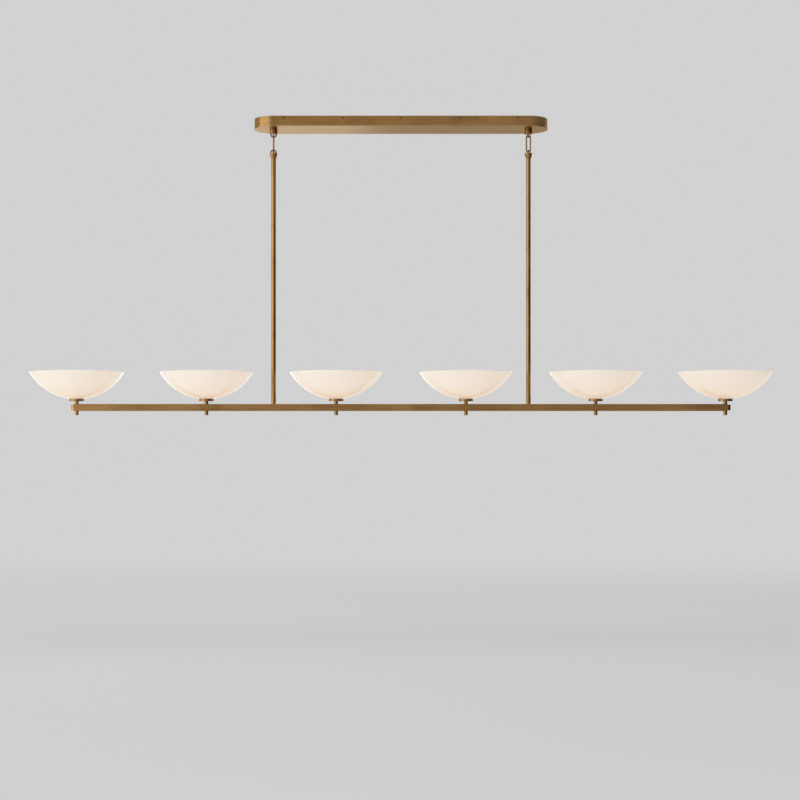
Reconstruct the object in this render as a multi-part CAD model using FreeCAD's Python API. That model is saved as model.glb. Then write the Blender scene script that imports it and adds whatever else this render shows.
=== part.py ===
import FreeCAD, Part
import math
import os

from FreeCAD import Vector

# Linear island pendant. Millimetres, +Z up.
# Origin: centre of the plate's face against the ceiling.
# +X runs along the crossbar, -Y faces the viewer.

# ---- bowls and their spacing along the crossbar
bowl_count = 6
bowl_pitch = 355.6
bowl_diameter = 254.0
bowl_depth = 75.0
glass_wall = 4.0
glass_lip = 1.2
gasket_thickness = 1.2
gasket_inset = 1.5
stem_hole_room = 1.0

# ---- canopy on the ceiling
canopy_width = 114.3
canopy_depth = 28.7
canopy_sheet = 1.5
canopy_lip = 0.8
canopy_end_reach = 52.75
ceiling_reveal = 1.2
plate_thickness = 1.6
flange_drop = 14.0
flange_end_margin = 12.0
plate_bend_radius = 0.96
face_edge_radius = 0.6

# ---- hangers: loops, links and rods
hanger_inset = 6.35
boss_diameter = 20.8
boss_height = 12.3
loop_wire = 4.0
loop_mean_radius = 7.25
loop_leg = 0.95
loop_base = 3.4
shank_diameter = 12.7
wireway = 5.0
link_wire = 4.0
link_length = 48.0
link_width = 15.0
open_link_room = 0.3
rod_loop_leg = 0.45
rod_loop_base = 3.0
rod_loop_grip = 5.5
coupling_diameter = 19.6
coupling_height = 15.6
rod_diameter = 12.7
rod_wall = 1.2
rod_seat_depth = 6.9
upper_rod_length = 259.6
lower_rod_length = 406.9
foot_ring_height = 3.5
foot_ring_reach = 1.15
foot_neck_inset = 0.35
foot_neck_height = 9.4
nipple_grip = 15.0
nipple_bore = 6.0

# ---- crossbar
bar_side = 19.05
bar_wall = 1.6
bar_edge = 0.6
soft_edge = 0.6
stem_to_bar_end = 5.5
cap_nose = 9.0
cap_tongue = 3.0

# ---- bowl seats, stems and lamps
seat_diameter = 40.0
seat_edge = 5.7
neck_height = 7.9
neck_diameter = 10.6
stem_diameter = 8.0
stem_bore = 5.0
stem_cap_height = 11.5
nut_flange_diameter = 28.0
nut_flange_height = 3.0
nut_height = 7.5
lampholder_diameter = 22.0
lampholder_height = 22.0
lampholder_collar = 5.0
lampholder_step = 3.0
lampholder_edge = 1.0
stem_in_lampholder = 6.0
lead_room = 4.0
lamp_diameter = 14.0
lamp_height = 33.0
lamp_dome = 0.7
lamp_base_height = 11.0
lamp_base_depth = 9.0
pin_spacing = 9.0
pin_radius = 0.8
pin_depth = 8.0

# ---- conductors
main_wire = 2.2
branch_wire = 1.6
branch_bend = 2.4

# ---- named clearances
loose_fit = 0.15
thread_fit = 0.05
slide_fit = 0.1
hang_gap = 0.3
glass_gap = 0.05

# ---- places worked out from the sizes above
hanger_x = bowl_pitch - hanger_inset
canopy_length = 2 * (hanger_x + canopy_end_reach)
bowl_places = [(i - (bowl_count - 1) / 2) * bowl_pitch for i in range(bowl_count)]
crossing = loop_wire / 2 + hang_gap + link_wire / 2
link_pitch = link_length - link_wire
rod_bore = rod_diameter - 2 * rod_wall
rod_loop_shank = rod_bore - 2 * loose_fit
nipple_radius = rod_bore / 2 - thread_fit
bar_bore = bar_side - 2 * bar_wall
bar_length = 2 * (bowl_places[-1] + stem_to_bar_end)
sphere_depth = bowl_depth - glass_lip
sphere_radius = ((bowl_diameter / 2) ** 2 + sphere_depth**2) / (2 * sphere_depth)

boss_bottom = -canopy_depth - boss_height
upper_wire_z = boss_bottom - loop_leg - loop_mean_radius
link_top_z = upper_wire_z + crossing
link_low_z = link_top_z - link_pitch
lower_wire_z = link_low_z + crossing
coupling_top = lower_wire_z - loop_mean_radius - rod_loop_leg
coupling_bottom = coupling_top - coupling_height
upper_rod_top = coupling_bottom + rod_seat_depth
rod_seam = upper_rod_top - upper_rod_length
lower_rod_bottom = rod_seam - lower_rod_length
bar_top = lower_rod_bottom - foot_ring_height - foot_neck_height
bar_bottom = bar_top - bar_side
seat_bottom = bar_top + neck_height
seat_rim = seat_bottom + seat_edge
seat_sphere = sphere_radius + gasket_thickness
sphere_z = seat_rim + math.sqrt(seat_sphere**2 - (seat_diameter / 2) ** 2)
bowl_bottom = sphere_z - sphere_radius
bowl_rim = bowl_bottom + bowl_depth
nut_sphere = sphere_radius - glass_wall - gasket_thickness
nut_bottom = sphere_z - nut_sphere
nut_flats = stem_diameter + 5.0
nut_top = nut_bottom + nut_height
lampholder_bottom = nut_top + hang_gap
lamp_seat = lampholder_bottom + lampholder_height
lamp_bottom = lamp_seat + slide_fit

up_axis = Vector(0, 0, 1)
tiny = 1e-6
past = 1.0  # how far a cutter runs past the face it opens


# ---- small helpers
def disc(radius, low, high, x=0.0, y=0.0):
    return Part.makeCylinder(radius, high - low, Vector(x, y, low), up_axis)


def cross_pin(radius, start, length, direction):
    return Part.makeCylinder(radius, length, start, direction)


def block(x0, x1, y0, y1, z0, z1):
    return Part.makeBox(x1 - x0, y1 - y0, z1 - z0, Vector(x0, y0, z0))


def turned(points, x=0.0, y=0.0):
    """Solid of revolution about the vertical line at x, y; points are (radius, z)."""
    corners = [Vector(x + r, y, z) for r, z in points]
    face = Part.Face(Part.makePolygon(corners + corners[:1]))
    return face.revolve(Vector(x, y, 0), up_axis, 360)


def hexagon(across_flats, low, high, x=0.0, y=0.0):
    reach = across_flats / math.sqrt(3)
    angles = [math.radians(60 * i) for i in range(6)]
    corners = [Vector(x + reach * math.cos(a), y + reach * math.sin(a), low) for a in angles]
    face = Part.Face(Part.makePolygon(corners + corners[:1]))
    return face.extrude(Vector(0, 0, high - low))


def stadium(length, width, low, high):
    half = (length - width) / 2
    radius = width / 2
    front = Part.LineSegment(Vector(-half, -radius, low), Vector(half, -radius, low))
    right = Part.Arc(Vector(half, -radius, low), Vector(half + radius, 0, low), Vector(half, radius, low))
    back = Part.LineSegment(Vector(half, radius, low), Vector(-half, radius, low))
    left = Part.Arc(Vector(-half, radius, low), Vector(-half - radius, 0, low), Vector(-half, -radius, low))
    outline = Part.Wire([edge.toShape() for edge in (front, right, back, left)])
    return Part.Face(outline).extrude(Vector(0, 0, high - low))


def half_ring(centre, mean_radius, wire, upper, along_y):
    """Half torus standing in the XZ plane, or in the YZ plane with along_y."""
    start = centre + Vector(mean_radius, 0, 0)
    section = Part.Face(Part.Wire(Part.makeCircle(wire / 2, start, up_axis)))
    ring = section.revolve(centre, Vector(0, -1 if upper else 1, 0), 180)
    if along_y:
        ring.rotate(centre, up_axis, 90)
    return ring


def on_ring(centre, mean_radius, side, along_y):
    offset = Vector(0, side * mean_radius, 0) if along_y else Vector(side * mean_radius, 0, 0)
    return centre + offset


def joined(pieces):
    return pieces[0].fuse(pieces[1:]).removeSplitter()


def export(name, pieces):
    shape = pieces if isinstance(pieces, Part.Shape) else Part.makeCompound(pieces)
    count = len(shape.Solids)
    print(f"{name}: {count} solid(s), {shape.Volume / 1000:.2f} cm3, valid {shape.isValid()}")
    shape.exportStep(f"parts/{name}.step")


# ---- ceiling plate
box_screw_spacing = 88.9
box_slot_length = 14.0
box_slot_radius = 2.5
supply_hole_radius = 11.1
anchor_inset_x = 60.0
anchor_inset_y = 20.0
anchor_radius = 2.75
plate_half_width = canopy_width / 2 - canopy_lip - canopy_sheet - hang_gap
plate_half_length = (canopy_length - canopy_width) / 2 - flange_end_margin

# ---- canopy side screws
side_screw_columns = 5
side_screw_end_margin = 28.85
side_screw_z = -6.8
side_screw_radius = 1.5
side_screw_head_radius = 2.4
side_screw_head_height = 1.6
side_screw_head_round = 0.96
side_screw_length = 6.0
side_straight = canopy_length - canopy_width
side_screw_pitch = (side_straight - 2 * side_screw_end_margin) / (side_screw_columns - 1)
side_screw_middle = (side_screw_columns - 1) / 2
side_screw_places = [(i - side_screw_middle) * side_screw_pitch for i in range(side_screw_columns)]
wall_outer_y = canopy_width / 2 - canopy_lip

# ---- terminal block and earth screw
terminal_x = 110.0
terminal_size = (34.0, 20.0, 16.0)
terminal_pitch = 10.0
terminal_hole_radius = 1.9
terminal_screw_radius = 1.6
terminal_screw_recess = 0.8
corner_round = 1.5
earth_screw_x = -80.0
earth_screw_radius = 1.95
earth_head_radius = 3.8
earth_head_height = 2.4
earth_head_round = 0.96


def slot(x, y, length, radius, low, high):
    half = length / 2 - radius
    middle = block(x - half, x + half, y - radius, y + radius, low, high)
    return joined([middle, disc(radius, low, high, x - half, y), disc(radius, low, high, x + half, y)])


def make_ceiling_plate():
    a = plate_half_length
    b = plate_half_width
    t = plate_thickness
    plate = block(-a, a, -b, b, -t, 0)
    for side in (-1, 1):
        near, far = sorted((side * b, side * (b - t)))
        flange = block(-a, a, near, far, -flange_drop, -t)
        plate = plate.fuse(flange)
    plate = plate.removeSplitter()
    bends = [e for e in plate.Edges if abs(e.BoundBox.YLength) < tiny and abs(e.BoundBox.ZLength) < tiny]
    outer_bends = [e for e in bends if abs(e.BoundBox.ZMax) < tiny]
    plate = plate.makeFillet(plate_bend_radius, outer_bends)
    for side in (-1, 1):
        slot_x = side * box_screw_spacing / 2
        plate = plate.cut(slot(slot_x, 0, box_slot_length, box_slot_radius, -t - past, past))
        for x in side_screw_places:
            start = Vector(x, side * (b - t - past), side_screw_z)
            hole = cross_pin(side_screw_radius + thread_fit, start, t + 2 * past, Vector(0, side, 0))
            plate = plate.cut(hole)
        for end in (-1, 1):
            x = end * (a - anchor_inset_x)
            plate = plate.cut(disc(anchor_radius, -t - past, past, x, side * (b - anchor_inset_y)))
    plate = plate.cut(disc(supply_hole_radius, -t - past, past))
    plate = plate.cut(disc(earth_screw_radius + thread_fit, -t - past, past, earth_screw_x))
    return plate


def make_canopy_band():
    length = canopy_length - 2 * canopy_lip
    outer = stadium(length, 2 * wall_outer_y, -canopy_depth + canopy_sheet, -ceiling_reveal)
    inner_width = 2 * (wall_outer_y - canopy_sheet)
    inner_length = length - 2 * canopy_sheet
    band = outer.cut(stadium(inner_length, inner_width, -canopy_depth, 0))
    for side in (-1, 1):
        for x in side_screw_places:
            start = Vector(x, side * (wall_outer_y - canopy_sheet - past), side_screw_z)
            reach = canopy_sheet + 2 * past
            hole = cross_pin(side_screw_radius + loose_fit, start, reach, Vector(0, side, 0))
            band = band.cut(hole)
    return band


def make_canopy_face():
    face = stadium(canopy_length, canopy_width, -canopy_depth, -canopy_depth + canopy_sheet)
    low_edges = [e for e in face.Edges if e.BoundBox.ZMax < -canopy_depth + tiny]
    face = face.makeFillet(face_edge_radius, low_edges)
    for side in (-1, 1):
        hole = disc(shank_diameter / 2 + loose_fit, -canopy_depth - past, 0, side * hanger_x)
        face = face.cut(hole)
    return face


def make_side_screws():
    screws = []
    for side in (-1, 1):
        for x in side_screw_places:
            head_start = Vector(x, side * wall_outer_y, side_screw_z)
            head = cross_pin(side_screw_head_radius, head_start, side_screw_head_height, Vector(0, side, 0))
            rim_y = side * (wall_outer_y + side_screw_head_height)
            rim = [e for e in head.Edges if abs(e.BoundBox.YMax - rim_y) < tiny]
            head = head.makeFillet(side_screw_head_round, rim)
            shank = cross_pin(side_screw_radius, head_start, side_screw_length, Vector(0, -side, 0))
            screws.append(joined([head, shank]))
    return screws


def make_terminal_block():
    length, width, height = terminal_size
    top = -plate_thickness
    body = block(terminal_x - length / 2, terminal_x + length / 2, -width / 2, width / 2, top - height, top)
    upright = [e for e in body.Edges if e.BoundBox.ZLength > height - tiny]
    body = body.makeFillet(corner_round, upright)
    for way in (-1, 0, 1):
        x = terminal_x + way * terminal_pitch
        entry = Vector(x, -width, top - height / 2)
        body = body.cut(cross_pin(terminal_hole_radius, entry, 2 * width, Vector(0, 1, 0)))
        body = body.cut(disc(terminal_screw_radius + thread_fit, top - height - past, top - height / 2, x))
    return body


def make_terminal_screws():
    height = terminal_size[2]
    low = -plate_thickness - height
    tip = low + height / 2 - terminal_hole_radius
    return [
        disc(terminal_screw_radius, low + terminal_screw_recess, tip, terminal_x + way * terminal_pitch)
        for way in (-1, 0, 1)
    ]


def make_earth_screw():
    under = -plate_thickness
    low = under - earth_head_height
    head = disc(earth_head_radius, low, under, earth_screw_x)
    low_rim = [e for e in head.Edges if e.BoundBox.ZMax < low + tiny]
    head = head.makeFillet(earth_head_round, low_rim)
    return joined([head, disc(earth_screw_radius, under, -loose_fit, earth_screw_x)])


# ---- hangers
washer_thickness = 1.6
washer_radius = 14.0
hanger_nut_height = 5.0
hanger_nut_flats = 20.0
collar_edge = 0.8
canopy_inside = -canopy_depth + canopy_sheet
hanger_shank_spare = 2.0
hanger_shank_top = canopy_inside + washer_thickness + hanger_nut_height + hanger_shank_spare
loop_base_top = boss_bottom + loop_base


def make_collar(x):
    """Round collar between the loop's base and the canopy."""
    r = boss_diameter / 2
    bore = shank_diameter / 2 + thread_fit
    outline = [(bore, loop_base_top), (r, loop_base_top), (r, -canopy_depth - collar_edge)]
    outline += [(r - collar_edge, -canopy_depth), (bore, -canopy_depth)]
    return turned(outline, x)


def make_hanger_loop(x, along_y):
    """Half ring below a round base, with a hollow shank up through the canopy."""
    centre = Vector(x, 0, upper_wire_z + loop_mean_radius)
    pieces = [half_ring(centre, loop_mean_radius, loop_wire, False, along_y)]
    for side in (-1, 1):
        foot = on_ring(centre, loop_mean_radius, side, along_y)
        pieces.append(disc(loop_wire / 2, foot.z, boss_bottom + loop_base / 2, foot.x, foot.y))
    r = boss_diameter / 2
    base = [(0, boss_bottom), (r - collar_edge, boss_bottom), (r, boss_bottom + collar_edge)]
    base += [(r, loop_base_top), (shank_diameter / 2, loop_base_top)]
    base += [(shank_diameter / 2, hanger_shank_top), (0, hanger_shank_top)]
    pieces.append(turned(base, x))
    return joined(pieces).cut(disc(wireway / 2, boss_bottom - loop_wire / 4, 0, x))


def make_hanger_washer(x):
    ring = disc(washer_radius, canopy_inside, canopy_inside + washer_thickness, x)
    return ring.cut(disc(shank_diameter / 2 + loose_fit, canopy_inside - past, 0, x))


def make_hanger_nut(x):
    low = canopy_inside + washer_thickness
    nut = hexagon(hanger_nut_flats, low, low + hanger_nut_height, x)
    return nut.cut(disc(shank_diameter / 2 + thread_fit, low - past, 0, x))


def make_link(x, along_y, room):
    """Long oval link; along_y stands it in the YZ plane, and room drops its lower bow in the rod's loop."""
    radius = (link_width - link_wire) / 2
    high = Vector(x, 0, link_top_z - radius)
    low = Vector(x, 0, link_low_z - room + radius)
    pieces = [half_ring(high, radius, link_wire, True, along_y)]
    pieces.append(half_ring(low, radius, link_wire, False, along_y))
    for side in (-1, 1):
        foot = on_ring(low, radius, side, along_y)
        pieces.append(disc(link_wire / 2, low.z, high.z, foot.x, foot.y))
    return joined(pieces)


# ---- rods
coupling_shoulder = 3.8
coupling_lip = 0.9
coupling_foot = 1.5
rod_loop_base_low = coupling_top - rod_loop_base


def make_rod_loop(x, along_y):
    """Half ring above a round base, with a hollow shank down into the rod's coupling."""
    centre = Vector(x, 0, lower_wire_z - loop_mean_radius)
    pieces = [half_ring(centre, loop_mean_radius, loop_wire, True, along_y)]
    for side in (-1, 1):
        foot = on_ring(centre, loop_mean_radius, side, along_y)
        pieces.append(disc(loop_wire / 2, coupling_top - rod_loop_base / 2, foot.z, foot.x, foot.y))
    r = coupling_diameter / 2
    shank = rod_loop_shank / 2
    shank_low = rod_loop_base_low - rod_loop_grip
    base = [(0, coupling_top), (r - collar_edge, coupling_top), (r, coupling_top - collar_edge)]
    base += [(r, rod_loop_base_low), (shank, rod_loop_base_low), (shank, shank_low), (0, shank_low)]
    pieces.append(turned(base, x))
    return joined(pieces).cut(disc(wireway / 2, shank_low - past, coupling_top + loop_wire / 4, x))


def make_coupling(x):
    """Tapered sleeve that joins the loop to the rod's upper end."""
    r = coupling_diameter / 2
    low_r = rod_diameter / 2 + coupling_lip
    bore = rod_loop_shank / 2 + thread_fit
    seat = rod_diameter / 2 + thread_fit
    top = rod_loop_base_low
    shoulder = top - coupling_shoulder
    outline = [(bore, top), (r, top), (r, shoulder)]
    outline += [(low_r, coupling_bottom + coupling_foot), (low_r, coupling_bottom)]
    outline += [(seat, coupling_bottom), (seat, upper_rod_top), (bore, upper_rod_top)]
    return turned(outline, x)


def make_tube(x, low, high):
    return disc(rod_diameter / 2, low, high, x).cut(disc(rod_bore / 2, low - past, high + past, x))


def make_rod_nipple(x, low, high):
    return disc(nipple_radius, low, high, x).cut(disc(nipple_bore / 2, low - past, high + past, x))


def make_foot(x):
    """Ring under the rod, with a slightly narrower neck down to the bar."""
    bore = nipple_radius + slide_fit
    ring = rod_diameter / 2 + foot_ring_reach
    neck = rod_diameter / 2 - foot_neck_inset
    ring_low = lower_rod_bottom - foot_ring_height
    soft = soft_edge
    outline = [(bore, bar_top), (neck, bar_top), (neck, ring_low), (ring - soft, ring_low)]
    outline += [(ring, ring_low + soft), (ring, lower_rod_bottom - soft)]
    outline += [(ring - soft, lower_rod_bottom), (bore, lower_rod_bottom)]
    return turned(outline, x)


lock_nut_height = 4.0
foot_height = foot_ring_height + foot_neck_height
nipple_spare = 0.8
nipple_length = nipple_grip + foot_height + bar_wall + lock_nut_height + nipple_spare
foot_nipple_top = lower_rod_bottom + nipple_grip


def make_rod_lock_nut(x):
    """Square nut that slides in the bar and can't turn there."""
    half = bar_bore / 2 - 2 * loose_fit
    top = bar_top - bar_wall
    nut = block(x - half, x + half, -half, half, top - lock_nut_height, top)
    return nut.cut(disc(nipple_radius + thread_fit, top - lock_nut_height - past, top + past, x))


# ---- crossbar
cap_side = bar_bore - 2 * slide_fit
cap_plug = 1.0
cap_tongue_reach = 13.0


def make_crossbar():
    half = bar_side / 2
    inner = bar_bore / 2
    bar = block(-bar_length / 2, bar_length / 2, -half, half, bar_bottom, bar_top)
    long_edges = [e for e in bar.Edges if e.BoundBox.XLength > bar_length / 2]
    bar = bar.makeFillet(bar_edge, long_edges)
    hollow = block(-bar_length, bar_length, -inner, inner, bar_bottom + bar_wall, bar_top - bar_wall)
    bar = bar.cut(hollow)
    for x in bowl_places:
        bar = bar.cut(disc(stem_diameter / 2 + slide_fit, bar_bottom - past, bar_top + past, x))
    for side in (-1, 1):
        middle = (bar_top + bar_bottom) / 2
        bar = bar.cut(disc(nipple_radius + slide_fit, middle, bar_top + past, side * hanger_x))
    return bar


def make_end_cap(side):
    """Bull-nosed plug; its tongue lies under the bar's top wall and the last stem passes through it."""
    half = cap_side / 2
    middle = (bar_top + bar_bottom) / 2
    end = bar_length / 2
    inner_end = end - cap_plug
    arc_x = end + cap_nose - half
    nose = block(inner_end, arc_x, -half, half, middle - half, middle + half)
    round_end = disc(half, middle - half, middle + half, arc_x)
    round_end = round_end.common(block(arc_x, arc_x + 2 * half, -half, half, bar_bottom, bar_top))
    tongue_end = bowl_places[-1] - cap_tongue_reach
    tongue = block(tongue_end, inner_end, -half, half, middle + half - cap_tongue, middle + half)
    cap = joined([nose, round_end, tongue])
    cap = cap.cut(disc(stem_diameter / 2 + slide_fit, bar_bottom, bar_top, bowl_places[-1]))
    if side < 0:
        cap = cap.mirror(Vector(0, 0, 0), Vector(1, 0, 0))
    return cap


# ---- bowl seats and what stands on them
stem_cap_floor = 3.0
stem_cap_round = 1.2
stem_bottom = bar_bottom - stem_cap_height + stem_cap_floor
stem_entry_radius = 2.2
stem_top = lampholder_bottom + stem_in_lampholder
wire_lift = 2.0
wire_entry_z = bar_bottom + bar_wall + main_wire + wire_lift


def sphere_at(radius, x):
    return Part.makeSphere(radius, Vector(x, 0, sphere_z))


def make_seat(x):
    """Dished disc with a neck, standing on the bar."""
    r = seat_diameter / 2
    neck = neck_diameter / 2
    soft = soft_edge
    outline = [(0, bar_top), (neck, bar_top), (neck, seat_bottom), (r - soft, seat_bottom)]
    outline += [(r, seat_bottom + soft), (r, seat_rim), (0, seat_rim)]
    seat = turned(outline, x).cut(sphere_at(seat_sphere, x))
    return seat.cut(disc(stem_diameter / 2 + slide_fit, bar_top - past, seat_rim + past, x))


def shell_ring(outer, inner, hole, rim, x):
    """Ring cut from the shell between two spheres, round the stem."""
    shell = sphere_at(outer, x).cut(sphere_at(inner, x))
    low = sphere_z - outer - past
    column = disc(rim, low, sphere_z, x).cut(disc(hole, low - past, sphere_z + past, x))
    return shell.common(column)


def make_gaskets(x):
    hole = stem_diameter / 2 + 2 * loose_fit
    seat_reach = seat_diameter / 2 - gasket_inset
    below = shell_ring(seat_sphere - glass_gap, sphere_radius + glass_gap, hole, seat_reach, x)
    inside = sphere_radius - glass_wall
    above = shell_ring(inside - glass_gap, nut_sphere + glass_gap, hole, nut_flange_diameter / 2, x)
    return [below, above]


def make_bowl(x):
    """Shallow glass bowl with an even wall, a rounded rim and a hole for the stem."""
    inside = sphere_radius - glass_wall
    lip_drop = sphere_z - bowl_rim + glass_lip
    outer_angle = math.acos(lip_drop / sphere_radius)
    inner_angle = math.acos(lip_drop / inside)
    hole = stem_diameter / 2 + stem_hole_room

    def place(radius, angle):
        return Vector(x + radius * math.sin(angle), 0, sphere_z - radius * math.cos(angle))

    outer_foot = place(sphere_radius, math.asin(hole / sphere_radius))
    inner_foot = place(inside, math.asin(hole / inside))
    outer_rim = place(sphere_radius, outer_angle)
    inner_rim = place(inside, inner_angle)
    lip = Vector((outer_rim.x + inner_rim.x) / 2, 0, bowl_rim)
    outer = Part.Arc(outer_foot, place(sphere_radius, outer_angle / 2), outer_rim)
    rounded = Part.Arc(outer_rim, lip, inner_rim)
    inner = Part.Arc(inner_rim, place(inside, inner_angle / 2), inner_foot)
    edges = [curve.toShape() for curve in (outer, rounded, inner)]
    edges.append(Part.makeLine(inner_foot, outer_foot))
    return Part.Face(Part.Wire(edges)).revolve(Vector(x, 0, 0), up_axis, 360)


def make_stem(x):
    """Hollow threaded stem; a cross hole inside the bar lets the conductors in."""
    stem = disc(stem_diameter / 2, stem_bottom, stem_top, x)
    stem = stem.cut(disc(stem_bore / 2, stem_bottom - past, stem_top + past, x))
    start = Vector(x, -stem_diameter, wire_entry_z)
    return stem.cut(cross_pin(stem_entry_radius, start, 2 * stem_diameter, Vector(0, 1, 0)))


def make_stem_cap(x):
    """Domed cap nut under the bar."""
    r = neck_diameter / 2
    low = bar_bottom - stem_cap_height
    cap = disc(r, low, bar_bottom, x)
    low_rim = [e for e in cap.Edges if e.BoundBox.ZMax < low + tiny]
    cap = cap.makeFillet(stem_cap_round, low_rim)
    return cap.cut(disc(stem_diameter / 2 + thread_fit, stem_bottom - slide_fit, bar_bottom + past, x))


def make_bowl_nut(x):
    """Nut with a dished flange that clamps the glass from inside."""
    flange_top = nut_bottom + nut_flange_height
    flange = disc(nut_flange_diameter / 2, nut_bottom, flange_top, x).common(sphere_at(nut_sphere, x))
    top = hexagon(nut_flats, flange_top, nut_top, x)
    nut = joined([flange, top])
    return nut.cut(disc(stem_diameter / 2 + thread_fit, nut_bottom - past, nut_top + past, x))


def make_lampholder(x):
    """Round ceramic holder with two pin holes, screwed on the stem."""
    r = lampholder_diameter / 2
    low = lampholder_bottom
    high = lamp_seat
    collar = r - lampholder_step
    outline = [(0, low), (collar, low), (collar, low + lampholder_collar)]
    outline += [(r, low + lampholder_collar + lampholder_step)]
    outline += [(r, high - lampholder_edge), (r - lampholder_edge, high), (0, high)]
    body = turned(outline, x)
    body = body.cut(disc(stem_diameter / 2 + thread_fit, low - past, stem_top + lead_room / 8, x))
    body = body.cut(disc(stem_bore / 2, low, stem_top + lead_room, x))
    for side in (-1, 1):
        pin_x = x + side * pin_spacing / 2
        body = body.cut(disc(pin_radius + loose_fit, high - pin_depth - past, high + past, pin_x))
    return body


def make_lamp(x):
    """Capsule lamp: flat ceramic base with two pins and a domed bulb above it."""
    low = lamp_bottom
    r = lamp_diameter / 2
    top = low + lamp_height
    dome_low = top - r * lamp_dome
    base = block(x - r, x + r, -lamp_base_depth / 2, lamp_base_depth / 2, low, low + lamp_base_height)
    upright = [e for e in base.Edges if e.BoundBox.ZLength > lamp_base_height - tiny]
    base = base.makeFillet(corner_round, upright)
    bulb = disc(r, low + lamp_base_height, dome_low, x)
    dome = Part.makeSphere(r, Vector(x, 0, dome_low)).common(disc(r, dome_low, top, x))
    pieces = [base, bulb, dome]
    for side in (-1, 1):
        pieces.append(disc(pin_radius, low - pin_depth, low + past, x + side * pin_spacing / 2))
    return joined(pieces)


# ---- conductors in the bar
main_y = (stem_diameter + bar_bore) / 4
main_z = bar_bottom + bar_wall + main_wire / 2 + slide_fit
main_spare = 2.0
main_reach = bowl_places[-1] + main_spare
branch_y = 1.1
branch_tail = 0.9
tap_half_length = 2.5
tap_cover = 0.5
lead_spare = 3.0


def make_branch(x, side, top):
    """Conductor that turns from the main wire up into a stem or a rod."""
    radius = branch_wire / 2
    turn_y = side * (branch_y + branch_bend)
    low = Vector(x, turn_y, wire_entry_z)
    tail = cross_pin(radius, low, branch_tail, Vector(0, side, 0))
    section = Part.Face(Part.Wire(Part.makeCircle(radius, low, Vector(0, 1, 0))))
    bend = section.revolve(low + Vector(0, 0, branch_bend), Vector(-side, 0, 0), 90)
    riser = disc(radius, wire_entry_z + branch_bend, top, x, side * branch_y)
    return joined([tail, bend, riser])


def make_tap(x, side):
    """Saddle tap that sits on the main wire and takes a branch's end."""
    top = wire_entry_z + branch_wire / 2 + tap_cover
    y0 = side * (branch_y + branch_bend + branch_tail + thread_fit)
    y1 = side * (bar_bore / 2 - 2 * loose_fit)
    reach = tap_half_length
    body = block(x - reach, x + reach, min(y0, y1), max(y0, y1), main_z, top)
    start = Vector(x - 2 * reach, side * main_y, main_z)
    return body.cut(cross_pin(main_wire / 2 + thread_fit, start, 4 * reach, Vector(1, 0, 0)))


def make_wiring(side):
    start = Vector(-main_reach, side * main_y, main_z)
    wires = [cross_pin(main_wire / 2, start, 2 * main_reach, Vector(1, 0, 0))]
    for x in bowl_places:
        wires.append(make_branch(x, side, stem_top + lead_spare))
        wires.append(make_tap(x, side))
    wires.append(make_branch(hanger_x, side, upper_rod_top - lead_spare))
    wires.append(make_tap(hanger_x, side))
    return wires


def main():
    os.makedirs("parts", exist_ok=True)
    export("ceiling_plate", make_ceiling_plate())
    export("canopy_band", make_canopy_band())
    export("canopy_face", make_canopy_face())
    export("canopy_side_screws", make_side_screws())
    export("terminal_block", make_terminal_block())
    export("terminal_screws", make_terminal_screws())
    export("earth_screw", make_earth_screw())
    for name, side in (("left", -1), ("right", 1)):
        x = side * hanger_x
        turned_loop = side > 0
        export(f"{name}_hanger_collar", make_collar(x))
        export(f"{name}_hanger_loop", make_hanger_loop(x, turned_loop))
        export(f"{name}_link", make_link(x, not turned_loop, open_link_room if turned_loop else 0.0))
        export(f"{name}_rod_loop", make_rod_loop(x, turned_loop))
        export(f"{name}_rod_coupling", make_coupling(x))
        export(f"{name}_upper_rod", make_tube(x, rod_seam, upper_rod_top))
        export(f"{name}_lower_rod", make_tube(x, lower_rod_bottom, rod_seam))
        export(f"{name}_rod_foot", make_foot(x))
        export(f"{name}_end_cap", make_end_cap(side))
    sides = (-hanger_x, hanger_x)
    export("hanger_washers", [make_hanger_washer(x) for x in sides])
    export("hanger_nuts", [make_hanger_nut(x) for x in sides])
    half = nipple_length / 2
    nipples = [make_rod_nipple(x, rod_seam - half, rod_seam + half) for x in sides]
    nipples += [make_rod_nipple(x, foot_nipple_top - nipple_length, foot_nipple_top) for x in sides]
    export("rod_nipples", nipples)
    export("rod_lock_nuts", [make_rod_lock_nut(x) for x in sides])
    export("crossbar", make_crossbar())
    export("bowl_stems", [make_stem(x) for x in bowl_places])
    export("stem_cap_nuts", [make_stem_cap(x) for x in bowl_places])
    export("bowl_nuts", [make_bowl_nut(x) for x in bowl_places])
    export("bowl_gaskets", [ring for x in bowl_places for ring in make_gaskets(x)])
    export("line_wiring", make_wiring(1))
    export("neutral_wiring", make_wiring(-1))
    for number, x in enumerate(bowl_places, 1):
        export(f"bowl_seat_{number}", make_seat(x))
        export(f"glass_bowl_{number}", make_bowl(x))
        export(f"lampholder_{number}", make_lampholder(x))
        export(f"lamp_{number}", make_lamp(x))
    print(f"bar {bar_bottom:.2f} to {bar_top:.2f}")
    print(f"bowl rim {bowl_rim:.2f}, lamp top {lamp_bottom + lamp_height:.2f}")
    print(f"bowl sphere radius {sphere_radius:.3f} at {sphere_z:.3f}")
    print(f"loop wires {upper_wire_z:.2f} and {lower_wire_z:.2f}")
    print(f"link bows {link_top_z:.2f} and {link_low_z:.2f}")
    print(f"coupling top {coupling_top:.2f}, rod seam {rod_seam:.2f}, rod foot {lower_rod_bottom:.2f}")
    right_pitch = link_pitch + open_link_room
    print("coupling ratio", round((link_pitch - crossing + open_link_room) / right_pitch, 6))


main()
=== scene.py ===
import math

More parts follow.
